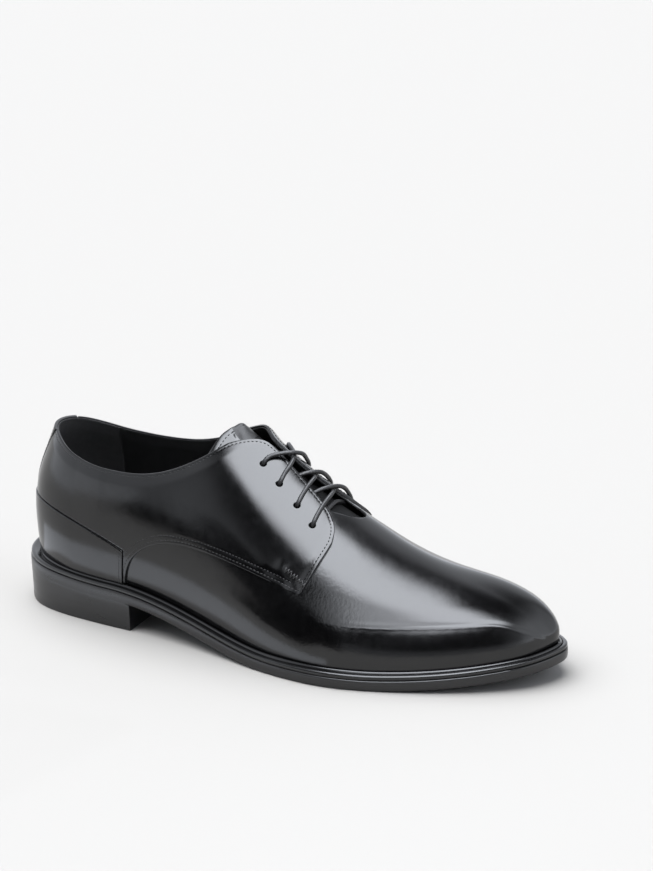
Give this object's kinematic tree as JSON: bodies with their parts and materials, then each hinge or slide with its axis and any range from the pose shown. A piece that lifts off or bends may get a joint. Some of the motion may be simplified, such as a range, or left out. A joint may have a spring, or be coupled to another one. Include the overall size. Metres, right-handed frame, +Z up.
{
  "type": "derby dress shoe",
  "caption": "Right plain-toe derby dress shoe in polished black leather: hollow lasted upper, open lacing through punched eyelets, welted leather sole and block heel.",
  "frame": {"origin": "middle of the shoe's box, on the floor that the sole stands on", "axes": "+X to the toe, +Y to the medial side, +Z up"},
  "size_m": [0.3, 0.1054, 0.1101],
  "materials": {
    "calf": "gloss",
    "sole_edge": "satin",
    "lining": "matte",
    "waxed_lace": "satin"
  },
  "bodies": {
    "root": {"outsole": "sole_edge", "heel": "sole_edge", "welt": "sole_edge", "upper": "calf", "quarter_right": "calf", "quarter_left": "calf", "heel_counter": "calf", "back_strip": "calf", "tongue": "calf", "insole": "lining", "lace_cross_1": "waxed_lace", "lace_cross_2": "waxed_lace", "lace_cross_3": "waxed_lace", "lace_bar": "waxed_lace"}
  },
  "joints": []
}
